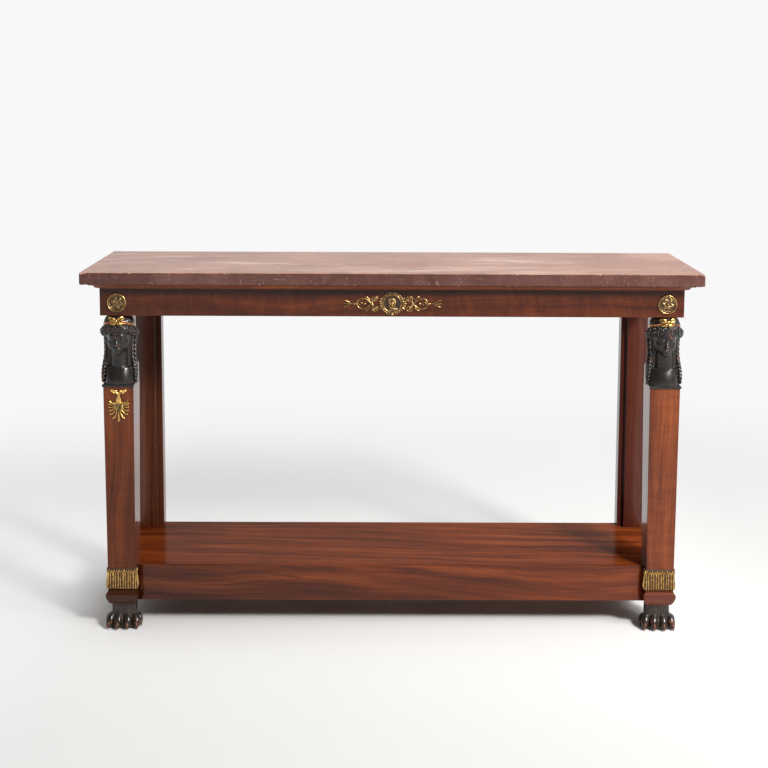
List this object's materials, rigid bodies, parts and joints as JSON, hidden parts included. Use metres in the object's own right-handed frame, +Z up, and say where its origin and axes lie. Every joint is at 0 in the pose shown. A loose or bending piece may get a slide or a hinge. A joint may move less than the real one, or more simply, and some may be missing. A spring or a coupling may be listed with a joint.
{
  "type": "pier table",
  "caption": "Marble-topped pier table: mahogany frieze on front legs with carved ebonised busts and paw feet, plain rear posts, low platform shelf and gilt mounts.",
  "frame": {"origin": "on the floor under the middle of the marble slab", "axes": "+Z up, +X to the right along the front, front faces -Y"},
  "size_m": [1.5, 0.44, 0.9],
  "materials": {
    "marble": "honed and waxed rouge marble, faint pale veins",
    "mahogany": "French polished mahogany",
    "ebonised_wood": "ebonised carved wood, soft gloss, brown wear on the high points",
    "gilt_brass": "aged gilt, dark in the recesses",
    "secondary_wood": "bare darkened pine and oak",
    "steel": "dull steel"
  },
  "bodies": {
    "root": {"bust_base_left": "ebonised_wood", "bust_base_right": "ebonised_wood", "bust_left": "ebonised_wood", "bust_right": "ebonised_wood", "bust_screws": "steel", "centre_mount": "gilt_brass", "corner_block_front_left": "secondary_wood", "corner_block_front_right": "secondary_wood", "corner_block_rear_left": "secondary_wood", "corner_block_rear_right": "secondary_wood", "corner_block_screws": "steel", "cornice_front": "mahogany", "cornice_left": "mahogany", "cornice_right": "mahogany", "foot_dowels": "secondary_wood", "frieze_back_rail": "secondary_wood", "frieze_front_rail": "mahogany", "frieze_glue_blocks": "secondary_wood", "frieze_side_rail_left": "mahogany", "frieze_side_rail_right": "mahogany", "front_leg_left": "mahogany", "front_leg_right": "mahogany", "hair_bow_left": "gilt_brass", "hair_bow_right": "gilt_brass", "leaf_collar_left": "gilt_brass", "leaf_collar_right": "gilt_brass", "marble_bearer_centre": "secondary_wood", "marble_bearer_left": "secondary_wood", "marble_bearer_right": "secondary_wood", "marble_top": "marble", "mount_pins": "gilt_brass", "palmette_mount": "gilt_brass", "paw_foot_left": "ebonised_wood", "paw_foot_right": "ebonised_wood", "platform_back_rail": "secondary_wood", "platform_bearer_centre": "secondary_wood", "platform_bearer_left": "secondary_wood", "platform_bearer_right": "secondary_wood", "platform_board": "mahogany", "platform_front_rail": "mahogany", "platform_glue_blocks": "secondary_wood", "platform_screws": "steel", "platform_side_rail_left": "mahogany", "platform_side_rail_right": "mahogany", "plinth_block_left": "mahogany", "plinth_block_right": "mahogany", "rear_foot_dowels": "secondary_wood", "rear_foot_left": "mahogany", "rear_foot_right": "mahogany", "rear_pilaster_left": "mahogany", "rear_pilaster_right": "mahogany", "rear_post_left": "mahogany", "rear_post_right": "mahogany", "rosette_left": "gilt_brass", "rosette_right": "gilt_brass"}
  },
  "joints": []
}
